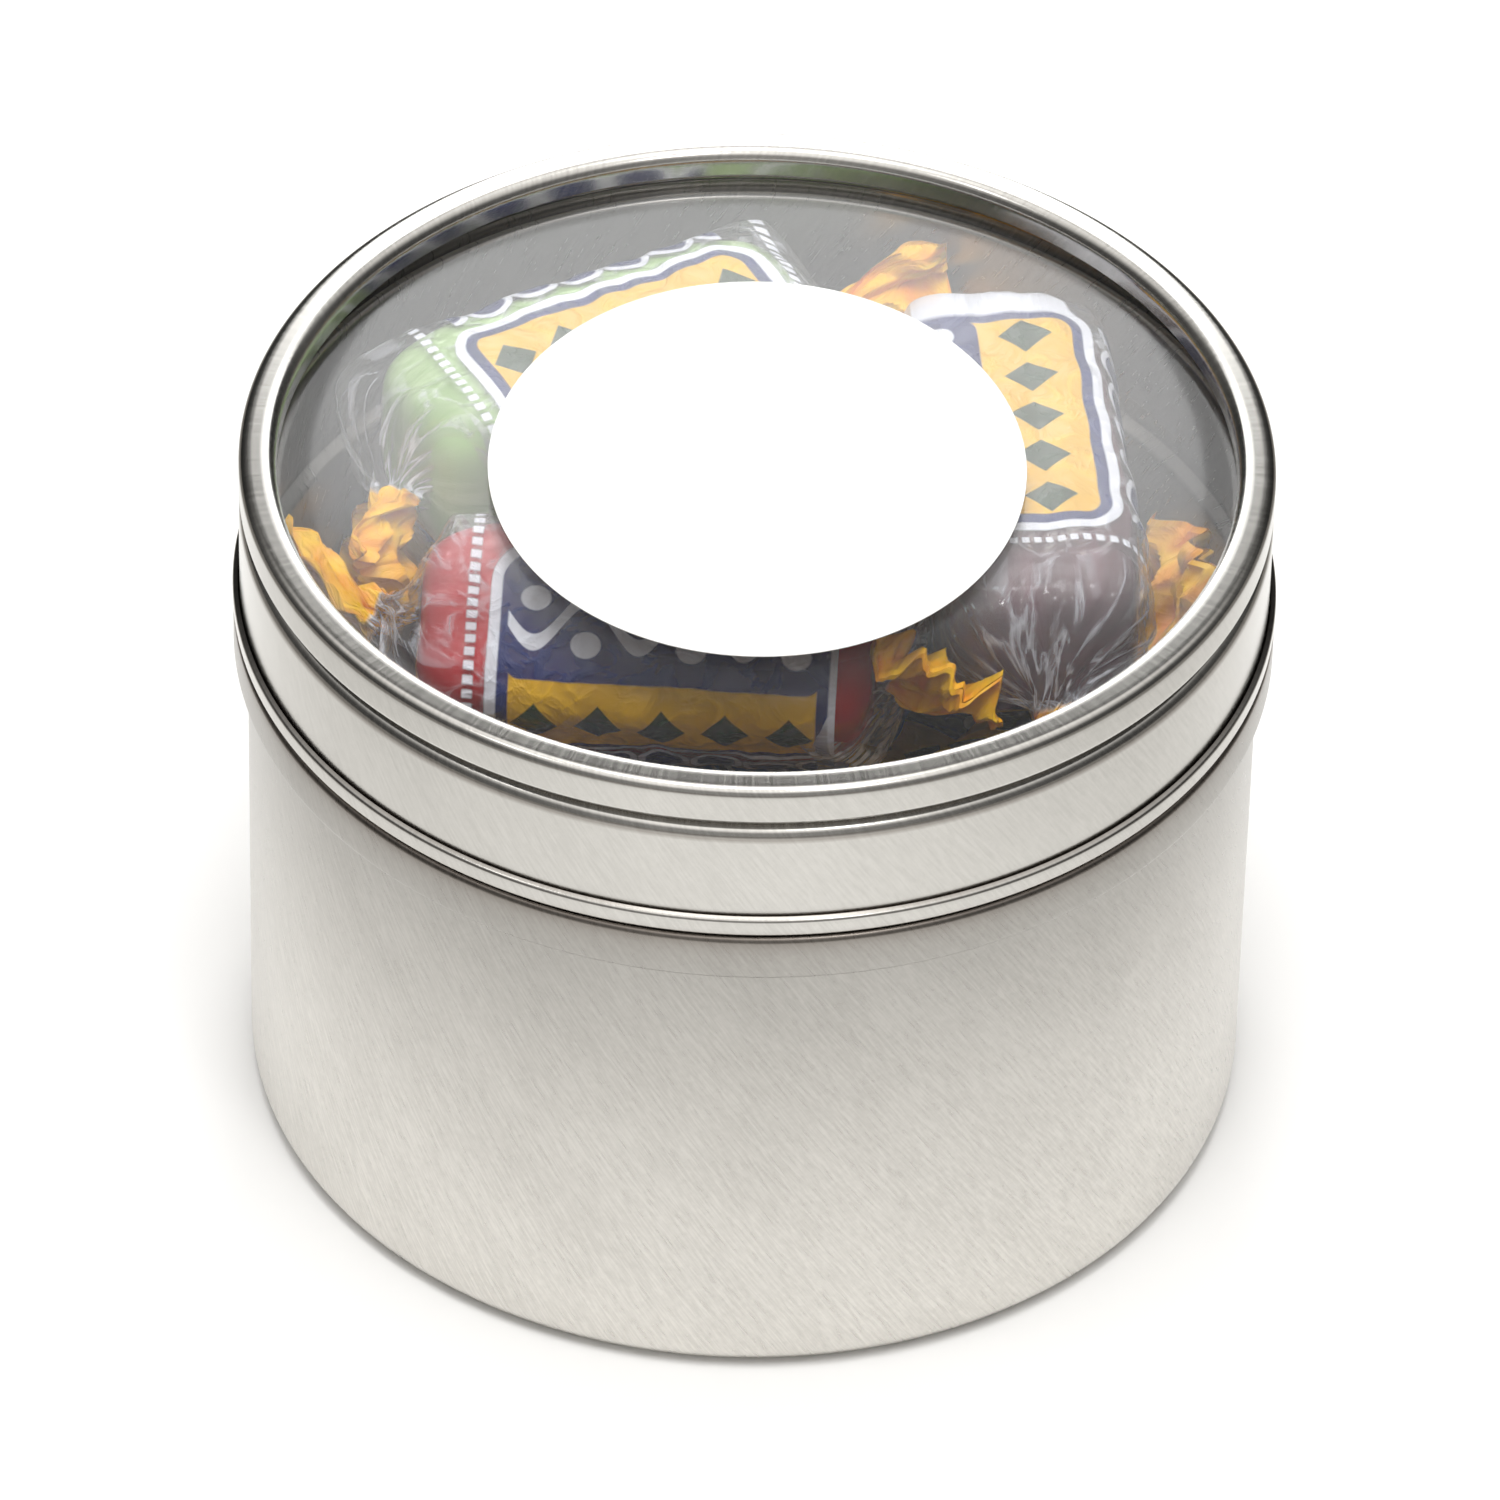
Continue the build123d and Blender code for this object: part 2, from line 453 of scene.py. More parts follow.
@dataclass(frozen=True)
class BoiledSugar(Finish):
    """Boiled sugar, cast and cooled: glassy, deep in colour, with paler streaks of fine bubbles."""

    colour: str
    pale_colour: str
    roughness: float = 0.14
    streak_mm: float = 2.2
    streak_stretch: float = 4.0
    streak_range: tuple = (0.45, 0.75)
    relief_mm: float = 0.3

    def surface(self, graph: Graph) -> Node:
        """Add a deep glossy colour with bubble streaks along the block."""
        width = 1 / self.streak_mm
        streaks = graph.add("Mapping", {
            "Vector": graph.add("UVMap", uv_map="film"),
            "Scale": (width / self.streak_stretch, width, 1),
        })
        bubbles = {"Vector": streaks, "Scale": 1.0, "Detail": 5.0, "Roughness": 0.65}
        bubbles = graph.add("TexNoise", bubbles)
        level = graph.add("MapRange", (bubbles, *self.streak_range))
        tones = {0: level, 6: self.colour, 7: self.pale_colour}
        relief = {"Height": bubbles, "Strength": 0.25, "Distance": self.relief_mm * MM}
        return graph.add("BsdfPrincipled", {
            "Base Color": graph.add("Mix", tones, data_type="RGBA").outputs[2],
            "Roughness": self.roughness,
            "IOR": 1.5,
            "Specular IOR Level": 0.35,
            "Normal": graph.add("Bump", relief),
        })


@dataclass(frozen=True)
class PrintedFilm(Finish):
    """Clear polypropylene film with a printed panel and yellow ends: crisp, shiny and creased.

    The map "film" gives the place on the film in millimetres, along the sweet and round it. The
    point attributes "tail" and "crush" say how far out along a tail a point is, and how crushed.
    """

    name: str = "printed_polypropylene_film"
    yellow: str = "#ffc914"
    deep_yellow: str = "#f0990a"
    panel_yellow: str = "#e8b420"
    navy: str = "#1f2a66"
    white: str = "#e4e7f0"
    green: str = "#1f3a1c"
    ink_edge_mm: float = 0.07
    panel_half_mm: tuple = (10.4, 8.4)
    panel_corner_mm: float = 2.0
    halo_mm: float = 0.7
    border_mm: float = 0.75
    block_half_mm: tuple = (9.9, 4.2)
    block_row_mm: float = 3.5
    wave_pitch_mm: float = 6.6
    wave_height_mm: float = 1.7
    wave_half_mm: float = 0.6
    dot_mm: float = 0.95
    fleck_row_mm: float = -4.2
    fleck_pitch_mm: float = 4.0
    fleck_mm: float = 1.5
    fleck_slope: float = 0.75
    bead_row_mm: float = -11.6
    bead_pitch_mm: float = 3.3
    bead_half_mm: tuple = (1.15, 1.44)
    bead_corner_mm: float = 1.09
    bead_halo_mm: float = 0.5
    bead_strip_half_mm: tuple = (9.7, 2.4)
    bead_strip_corner_mm: float = 0.4
    line_pitch_mm: float = 1.5
    line_half_mm: float = 0.33
    dash_pitch_mm: float = 0.9
    dash_half_mm: float = 0.28
    end_lines_mm: float = 12.2
    end_band_half_mm: float = 0.9
    foot_lines_mm: float = -16.0
    foot_band_half_mm: tuple = (9.5, 1.2)
    foot_band_corner_mm: float = 0.1
    tail_ink: tuple = (0.44, 0.47)
    fold_mm: float = 2.5
    fold_range: tuple = (0.35, 0.6)
    print_cover: float = 0.86
    ink_density: float = 0.97
    crease_mm: float = 2.6
    crease_range: tuple = (1.0, 1.65)
    # White in the creases, more where the film is crushed: painted highlight for the glints of
    # crumpled film.
    crease_painted_highlight: float = 0.34
    crushed_painted_highlight: float = 0.5
    crushed_haze: float = 0.06
    haze: float = 0.02
    relief_strength: float = 0.8
    relief_mm: float = 0.16
    gloss_straight: float = 0.05
    gloss_steep: float = 0.7
    gloss_power: float = 3.0
    clear_roughness: float = 0.06
    inked_roughness: float = 0.22

    def inside(self, graph: Graph, distance: Value, edge: float = 0.0) -> Node:
        """Add a soft step that is one where a distance is below an edge."""
        soft = self.ink_edge_mm
        return graph.add("MapRange", (distance, edge - soft, edge + soft, 1.0, 0.0))

    def cell(self, graph: Graph, value: Value, pitch: float) -> Node:
        """Add a value's place in a row of cells, measured from a cell's middle."""
        return graph.add("Math", (value, pitch / 2, -pitch / 2), operation="WRAP")

    def box_distance(
        self, graph: Graph, along: Value, across: Value, half: tuple, corner: float
    ) -> Node:
        """Add the distance outside a rounded box round zero.

        The distance is the length of the part of the point past half less corner, less corner.

        Args:
            graph: the nodes.
            along: the place along the box.
            across: the place across it.
            half: half the box's sides.
            corner: the radius of its corners.

        Returns:
            The node with the distance.
        """
        past = []
        for value, reach in zip((along, across), half):
            off_middle = graph.add("Math", (value,), operation="ABSOLUTE")
            over = graph.add("Math", (off_middle, reach - corner), operation="SUBTRACT")
            past.append(graph.add("Math", (over, 0.0), operation="MAXIMUM"))
        corner_way = graph.add("CombineXYZ", tuple(past))
        length = graph.add("VectorMath", (corner_way,), operation="LENGTH").outputs["Value"]
        return graph.add("Math", (length, corner), operation="SUBTRACT")

    def dashed(self, graph: Graph, from_line: Value, along_line: Value, band: Node) -> Node:
        """Add lines of short dashes.

        Args:
            graph: the nodes.
            from_line: the distance from the middle line.
            along_line: the place along the lines.
            band: one where the lines may be, and zero elsewhere.

        Returns:
            The node that is one on a dash.
        """
        mask = band
        for value, pitch, half in (
            (from_line, self.line_pitch_mm, self.line_half_mm),
            (along_line, self.dash_pitch_mm, self.dash_half_mm),
        ):
            near = graph.add("Math", (self.cell(graph, value, pitch),), operation="ABSOLUTE")
            near = self.inside(graph, near, half)
            mask = graph.add("Math", (mask, near), operation="MULTIPLY")
        return mask

    def print_masks(self, graph: Graph, along: NodeSocket, across: NodeSocket) -> dict:
        """Add the nodes that say where each ink is.

        Args:
            graph: the nodes.
            along: the place along the film.
            across: the place round it.

        Returns:
            The masks' nodes by name.
        """
        add = graph.add
        panel = self.box_distance(graph, along, across, self.panel_half_mm, self.panel_corner_mm)
        on_panel = self.inside(graph, panel, -self.border_mm)
        from_block = add("Math", (across, self.block_row_mm), operation="SUBTRACT")
        block = self.box_distance(
            graph, along, from_block, self.block_half_mm, self.panel_corner_mm / 2
        )
        on_block = self.inside(graph, block)

        # A wave on the block, with a dot in each of its bays.
        turn = add("Math", (along, 2 * pi / self.wave_pitch_mm), operation="MULTIPLY")
        crest = add("Math", (turn,), operation="SINE")
        crest = add("Math", (crest, self.wave_height_mm), operation="MULTIPLY")
        off_wave = add("Math", (from_block, crest), operation="SUBTRACT")
        off_wave = add("Math", (off_wave,), operation="ABSOLUTE")
        wave = self.inside(graph, off_wave, self.wave_half_mm)
        quarter = add("Math", (along, self.wave_pitch_mm / 4), operation="ADD")
        bay = self.cell(graph, quarter, self.wave_pitch_mm / 2)
        side = add("Math", (crest,), operation="SIGN")
        drop = add("Math", (side, self.wave_height_mm, from_block), operation="MULTIPLY_ADD")
        off_dot = add("VectorMath", (add("CombineXYZ", (bay, drop)),), operation="LENGTH")
        dot = self.inside(graph, off_dot.outputs["Value"], self.dot_mm)
        motif = add("Math", (wave, dot), operation="MAXIMUM")

        # A row of diamonds on the panel.
        fleck = add("Math", (self.cell(graph, along, self.fleck_pitch_mm),), operation="ABSOLUTE")
        off_row = add("Math", (across, self.fleck_row_mm), operation="SUBTRACT")
        off_row = add("Math", (off_row,), operation="ABSOLUTE")
        fleck = add("Math", (off_row, self.fleck_slope, fleck), operation="MULTIPLY_ADD")
        fleck = self.inside(graph, fleck, self.fleck_mm)

        # A row of ovals beside the panel.
        off_row = add("Math", (across, self.bead_row_mm), operation="SUBTRACT")
        bead_way = self.cell(graph, along, self.bead_pitch_mm)
        bead = self.box_distance(
            graph, bead_way, off_row, self.bead_half_mm, self.bead_corner_mm
        )
        bead_halo = self.inside(graph, bead, self.bead_halo_mm)
        strip = self.inside(graph, self.box_distance(
            graph, along, off_row, self.bead_strip_half_mm, self.bead_strip_corner_mm
        ))

        # Dashed lines past both ends of the panel, and along the foot of the print.
        off_middle = add("Math", (along,), operation="ABSOLUTE")
        past_end = add("Math", (off_middle, self.end_lines_mm), operation="SUBTRACT")
        off_line = add("Math", (past_end,), operation="ABSOLUTE")
        end_band = self.inside(graph, off_line, self.end_band_half_mm)
        off_foot = add("Math", (across, self.foot_lines_mm), operation="SUBTRACT")
        foot_band = self.inside(graph, self.box_distance(
            graph, along, off_foot, self.foot_band_half_mm, self.foot_band_corner_mm
        ))
        ends = self.dashed(graph, past_end, across, end_band)
        foot = self.dashed(graph, off_foot, along, foot_band)
        return {
            "halo": self.inside(graph, panel, self.halo_mm),
            "border": self.inside(graph, panel),
            "panel": on_panel,
            "block": on_block,
            "motif": add("Math", (motif, on_block), operation="MULTIPLY"),
            "fleck": add("Math", (fleck, on_panel), operation="MULTIPLY"),
            "bead_halo": add("Math", (bead_halo, strip), operation="MULTIPLY"),
            "bead": add("Math", (self.inside(graph, bead), strip), operation="MULTIPLY"),
            "dashes": add("Math", (ends, foot), operation="MAXIMUM"),
        }

    def surface(self, graph: Graph) -> Node:
        """Add inks over clear film, gloss by the angle of view, and white creases as painted
        highlight.
        """
        add = graph.add
        point = add("UVMap", uv_map="film")
        along, across, _ = add("SeparateXYZ", (point,)).outputs
        masks = self.print_masks(graph, along, across)
        crush = add("Attribute", attribute_name="crush").outputs["Fac"]
        tail = add("Attribute", attribute_name="tail").outputs["Fac"]
        on_tail = add("MapRange", (tail, *self.tail_ink))
        folds = add("TexNoise", {"Vector": point, "Scale": 1 / self.fold_mm, "Detail": 3.0})
        folds = add("MapRange", (folds, *self.fold_range))
        yellows = {0: folds, 6: self.deep_yellow, 7: self.yellow}

        colour = self.white
        for mask, ink in (
            (masks["border"], self.navy),
            (masks["panel"], self.panel_yellow),
            (masks["block"], self.navy),
            (masks["motif"], self.white),
            (masks["fleck"], self.green),
            (masks["bead_halo"], self.white),
            (masks["bead"], self.navy),
            (on_tail, add("Mix", yellows, data_type="RGBA").outputs[2]),
        ):
            colour = add("Mix", {0: mask, 6: colour, 7: ink}, data_type="RGBA").outputs[2]
        ink = add("Math", (masks["halo"], masks["bead_halo"]), operation="MAXIMUM")
        ink = add("Math", (ink, masks["dashes"]), operation="MAXIMUM")
        ink = add("Math", (ink, self.print_cover), operation="MULTIPLY")
        ink = add("Math", (ink, on_tail), operation="MAXIMUM")

        ridges = add("TexNoise", {
            "Vector": point,
            "Scale": 1 / self.crease_mm,
            "Detail": 4.0,
            "Roughness": 0.55,
            "Offset": 0.9,
            "Gain": 2.0,
            "Distortion": 0.6,
        }, noise_type="RIDGED_MULTIFRACTAL")
        # White creases: painted highlight for the glints of crumpled film.
        white = (crush, self.crushed_painted_highlight, self.crease_painted_highlight)
        white = add("Math", white, operation="MULTIPLY_ADD")
        crease = add("MapRange", (ridges, *self.crease_range))
        # The painted highlight in the creases, plus the film's own faint haze.
        milk = add("Math", (crease, white), operation="MULTIPLY")
        milk = add("Math", (crush, self.crushed_haze, milk), operation="MULTIPLY_ADD")
        milk = add("Math", (milk, self.haze), operation="ADD")
        cover = (ink, self.ink_density, milk)
        cover = add("Math", cover, operation="MULTIPLY_ADD", use_clamp=True)

        relief = {"Strength": self.relief_strength, "Distance": self.relief_mm * MM}
        relief = add("Bump", {"Height": ridges, **relief})
        facing = add("LayerWeight", {"Blend": 0.5, "Normal": relief}).outputs["Facing"]
        steep = add("Math", (facing, self.gloss_power), operation="POWER")
        shine = (steep, self.gloss_steep, self.gloss_straight)
        shine = add("Math", shine, operation="MULTIPLY_ADD")
        gloss = add("BsdfGlossy", {"Roughness": self.clear_roughness, "Normal": relief})
        bare = add("MixShader", (shine, add("BsdfTransparent"), gloss))
        inked = add("BsdfPrincipled", {
            "Base Color": colour,
            "Roughness": self.inked_roughness,
            "IOR": 1.49,
            "Specular IOR Level": 0.35,
            "Normal": relief,
        })
        return add("MixShader", (cover, bare, inked))


@dataclass(frozen=True)
class WhiteTable(Finish):
    """A matt white table top, with painted shade that greys it far out to all but the camera.

    The painted shade comes sooner to the left and right than in front.
    """

    name: str = "white_table"
    colour: str = "#fbfbfa"
    far_painted_shade_colour: str = "#8a8783"
    roughness: float = 0.9
    fade: tuple = (0.04, 0.14)
    depth_share: float = 0.55

    def surface(self, graph: Graph) -> Node:
        """Add the white surface and its painted shade far out."""
        squeezed = graph.add("Mapping", {
            "Vector": graph.add("TexCoord").outputs["Object"],
            "Scale": (1, self.depth_share, 1),
        })
        away = graph.add("VectorMath", (squeezed,), operation="LENGTH").outputs["Value"]
        # Painted shade on the floor far from the tin, shown only to rays that are not camera rays.
        far = graph.add("MapRange", (away, *self.fade), interpolation_type="SMOOTHSTEP")
        seen = graph.add("LightPath").outputs["Is Camera Ray"]
        unseen = graph.add("Math", (1.0, seen), operation="SUBTRACT")
        far = graph.add("Math", (far, unseen), operation="MULTIPLY")
        tones = {0: far, 6: self.colour, 7: self.far_painted_shade_colour}
        return graph.add("BsdfPrincipled", {
            "Base Color": graph.add("Mix", tones, data_type="RGBA").outputs[2],
            "Roughness": self.roughness,
            "Specular IOR Level": 0.1,
        })


# The tin


@dataclass
class Can:
    """The drawn can: base with a raised panel, wall, ledge under the lid, neck and curled rim."""

    material: Material
    sheet: float = 0.25
    radius: float = 32.07
    corner: float = 1.9
    ring_width: float = 4.0
    step_width: float = 0.9
    panel_rise: float = 0.4
    ledge_step_out: float = 0.9
    ledge_height: float = 3.6
    ledge_slope_height: float = 0.5
    ledge_bend: float = 0.3
    rest_gap: float = 0.2
    draw_in: float = 0.37
    curl: float = 0.5
    turn_down: float = 0.7
    # Darkening of the ledge under the lid's hem, partly tarnished metal and partly painted shadow
    # of the hem: its strength and reach.
    tarnish_and_shade: float = 0.6
    tarnish_and_shade_reach: float = 0.9
    longest_run: float = 0.6
    segments: int = 288

    def line(self) -> np.ndarray:
        """Return the middle of the sheet from the base's centre to the rim's curl."""
        half = self.sheet / 2
        rim = levels("tin_body")[1]
        ledge_top = levels("lid_ring")[0] - self.rest_gap
        ledge_level = ledge_top - self.ledge_height
        wall = self.radius - half
        ledge = wall + self.ledge_step_out
        neck = wall - self.draw_in
        ring = self.radius - self.corner - self.ring_width
        line = filleted_line([
            (0, self.panel_rise + half, 0),
            (ring - self.step_width, self.panel_rise + half, self.panel_rise),
            (ring, half, self.panel_rise),
            (wall, half, self.corner - half),
            (wall, ledge_level, self.ledge_bend),
            (ledge, ledge_level + self.ledge_slope_height, self.ledge_bend),
            (ledge, ledge_top - half, self.ledge_bend),
            (neck, ledge_top - half, self.ledge_bend),
            (neck, rim - half, self.curl / 2),
            (neck + self.curl, rim - half, self.curl / 2),
            (neck + self.curl, rim - self.turn_down, 0),
        ])
        return refined(line, self.longest_run)

    def build(self) -> None:
        """Make the can, with a darker ledge under the lid's hem: partly tarnished, partly painted
        shadow.

        The darkening fades as exp(-d / reach), where d is the depth under the hem.
        """
        outline = sheet_outline(self.line(), self.sheet)
        outline[[0, -1], 0] = 0
        down = np.abs(outline[:, 1] - levels("lid_ring")[0] + self.rest_gap)
        ledge = self.radius + self.ledge_step_out
        outside = outline[:, 0] > ledge - self.ledge_bend - self.sheet
        # Painted shadow under the hem, with some tarnish: darkest just below the lid.
        tarnish_and_shade = np.where(outside, self.tarnish_and_shade * np.exp(-down / self.tarnish_and_shade_reach), 0)
        maps = {"crease": np.repeat(tarnish_and_shade[:, None], self.segments, 1)}
        piece = grid_object("can", turned(outline, self.segments), maps=maps)
        hand_over(piece, "can", "tin_body", self.material)


@dataclass
class Lid:
    """The lid: a ring with its bead, groove, skirt and folded hem, a window and a blank label.

    Each crease's darkening, partly tarnished metal and partly painted shade, is a pair: how far it
    reaches from its crease, and how strong it is there.
    """

    tinplate: Material
    clear: Material
    paper: Material
    sheet: float = 0.25
    radius: float = 32.56
    hem_height: float = 1.33
    hem_fold: float = 0.44
    hem_lip: float = 0.12
    hem_close_share: float = 0.75
    hem_seam_share: float = 0.3
    groove_height: float = 1.9
    groove_depth: float = 0.88
    groove_upper_share: float = 0.47
    groove_crease_bend: float = 0.1
    shoulder_drop: float = 0.12
    shoulder_bend: float = 0.64
    bead_width: float = 2.4
    bead_outer_bend: float = 0.48
    bead_inner_bend: float = 0.7
    bead_lower_bend: float = 0.3
    # Darkening in the groove, at the shoulder and round the hem: partly tarnished metal, partly
    # painted shade in these creases.
    groove_tarnish_and_shade: tuple = (0.24, 0.45)
    shoulder_tarnish_and_shade: tuple = (0.14, 0.45)
    hem_seam_tarnish_and_shade: tuple = (0.2, 0.7)
    hem_foot_tarnish_and_shade: tuple = (0.22, 0.8)
    window_play: float = 0.05
    window_edge_share: float = 0.125
    label_width: float = 33.9
    label_depth: float = 36.9
    label_shift: float = 0.65
    label_edge: float = 0.04
    ring_longest_run: float = 0.3
    window_longest_run: float = 4.0
    label_longest_run: float = 2.0
    segments: int = 320
    label_segments: int = 160

    def crease_levels(self) -> tuple[float, float]:
        """Return the levels of the groove's top and of its crease."""
        top = levels("window_disc")[0] - self.window_play
        return top, top - self.groove_height * self.groove_upper_share

    def line(self) -> np.ndarray:
        """Return the middle of the ring's sheet from the bead's inner edge to the hem's end."""
        half = self.sheet / 2
        bottom, top = levels("lid_ring")
        groove_top, crease = self.crease_levels()
        edge_level = levels("window_disc")[1] + self.window_play
        skirt = self.radius - half
        edge = skirt - self.bead_width + self.sheet
        hem = skirt + self.hem_fold
        hem_top = bottom + self.hem_height
        line = filleted_line([
            (edge, edge_level, 0),
            (edge, top - half, self.bead_inner_bend),
            (skirt, top - half, self.bead_outer_bend),
            (skirt, groove_top, self.bead_lower_bend),
            (self.radius - self.groove_depth, crease, self.groove_crease_bend),
            (skirt, crease - self.shoulder_drop, self.shoulder_bend),
            (skirt, bottom + half, self.hem_fold / 2),
            (hem, bottom + half, self.hem_fold / 2),
            (hem, hem_top - self.hem_lip, self.hem_lip),
            (skirt + self.sheet * self.hem_close_share, hem_top, 0),
        ])
        return refined(line, self.ring_longest_run)

    def build_ring(self) -> None:
        """Make the ring, darkened in its groove and round its hem: partly tarnished, partly painted
        shade.

        The darkening at a point is the greatest of strength * exp(-(d / reach)^2) over the
        creases, where d is its distance from the crease.
        """
        outline = sheet_outline(self.line(), self.sheet)
        bottom, _ = levels("lid_ring")
        _, crease = self.crease_levels()
        seam = self.radius + self.sheet * self.hem_seam_share
        # Tarnished metal and painted shade, strongest at each crease.
        tarnish_and_shade = np.zeros(len(outline))
        for place, (reach, strength) in (
            ((self.radius - self.groove_depth, crease), self.groove_tarnish_and_shade),
            ((self.radius, crease - self.shoulder_bend), self.shoulder_tarnish_and_shade),
            ((seam, bottom + self.hem_height), self.hem_seam_tarnish_and_shade),
            ((self.radius + self.hem_fold, bottom), self.hem_foot_tarnish_and_shade),
        ):
            distance = np.hypot(*(outline - place).T)
            tarnish_and_shade = np.maximum(tarnish_and_shade, strength * np.exp(-((distance / reach) ** 2)))
        grid = turned(outline, self.segments)
        maps = {"crease": np.repeat(tarnish_and_shade[:, None], self.segments, 1)}
        piece = grid_object("lid_ring_metal", grid, close_rows=True, maps=maps)
        hand_over(piece, "lid", "lid_ring", self.tinplate)

    def build_window(self) -> None:
        """Make the window: a flat disc with rounded edges."""
        bottom, top = levels("window_disc")
        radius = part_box("window_disc")[1].x / MM
        edge = (top - bottom) * self.window_edge_share
        outline = refined(disc_outline("window_disc", radius, edge, 3), self.window_longest_run)
        piece = grid_object("window_sheet", turned(outline, self.segments))
        hand_over(piece, "lid", "window_disc", self.clear)

    def build_label(self) -> None:
        """Make the label: an oval of paper, its outline turned and then widened to its depth."""
        outline = disc_outline("window_label", self.label_width / 2, self.label_edge, 4)
        grid = turned(refined(outline, self.label_longest_run), self.label_segments)
        grid[..., 1] *= self.label_depth / self.label_width
        grid[..., 1] += self.label_shift
        piece = grid_object("label_paper", grid)
        hand_over(piece, "lid", "window_label", self.paper)

    def build(self) -> None:
        """Make the lid's three pieces."""
        self.build_ring()
        self.build_window()
        self.build_label()


# The sweets


class Flavour(Enum):
    """The colours that the sweets come in, each with its sugar's deep and pale tone."""

    RED = ("red_sugar", "#b80f1c", "#cf333c")
    GREEN = ("green_sugar", "#8cb065", "#b7d09b")
    PURPLE = ("purple_sugar", "#4a1c29", "#71404d")
    BLUE = ("blue_sugar", "#2b63b4", "#5f8fd0")


class Detail(Enum):
    """How finely a sweet is made: rows along it and columns round it."""

    SHOWN = (300, 168)
    BURIED = (150, 96)


def softened(values: np.ndarray) -> np.ndarray:
    """Smooth a row of values with a short bell-shaped window, and stand it up as a column."""
    kernel = np.hanning(max(5, len(values) // 30 * 2 + 1))
    padded = np.pad(values, len(kernel) // 2, mode="edge")
    return np.convolve(padded, kernel / kernel.sum(), "valid")[:, None]


def with_ends(values: np.ndarray) -> np.ndarray:
    """Repeat the first and the last row."""
    return np.concatenate([values[:1], values, values[-1:]])


@dataclass(frozen=True)
class Tail:
    """One twisted end of a wrapper: how it turns, rises and twists, in degrees, and its reach."""

    turn: float
    rise: float
    twist: float
    run_share: float = 1.0

    def directions(self, heading: float, share: float) -> tuple[np.ndarray, np.ndarray]:
        """Return the way that the tail runs and its fan lies, at a share of its full turn."""
        turn = radians(heading + self.turn * share)
        rise, twist = radians(self.rise * share), radians(self.twist * share)
        along = np.array([cos(rise) * cos(turn), cos(rise) * sin(turn), sin(rise)])
        level = np.array([-sin(turn), cos(turn), 0])
        return along, level * cos(twist) + np.cross(along, level) * sin(twist)


@dataclass
class FilmLine:
    """The film laid out along its length: for each point of its middle, what it is like there.

    Middle and fan are points and directions. The rest are columns: how far out along the tail
    from 0 to 1, half the width, half the depth, the power of the cross-section, and how
    crushed the film is.
    """

    middle: np.ndarray
    fan: np.ndarray
    tail: np.ndarray
    wide: np.ndarray
    deep: np.ndarray
    power: np.ndarray
    crush: np.ndarray

    def frame(self) -> tuple[np.ndarray, np.ndarray, np.ndarray, np.ndarray]:
        """Return the way along, the way across and the way up, and the run from the middle."""
        along = np.gradient(self.middle, axis=0)
        along /= np.linalg.norm(along, axis=1)[:, None]
        fan = self.fan - (self.fan * along).sum(1)[:, None] * along
        fan /= np.linalg.norm(fan, axis=1)[:, None]
        steps = np.linalg.norm(np.diff(self.middle, axis=0), axis=1)
        run = np.concatenate([[0], np.cumsum(steps)])
        centre = np.argmin(np.abs(self.middle[:, 0]) + self.tail[:, 0] * len(run))
        return along, fan, np.cross(along, fan), (run - run[centre])[:, None]


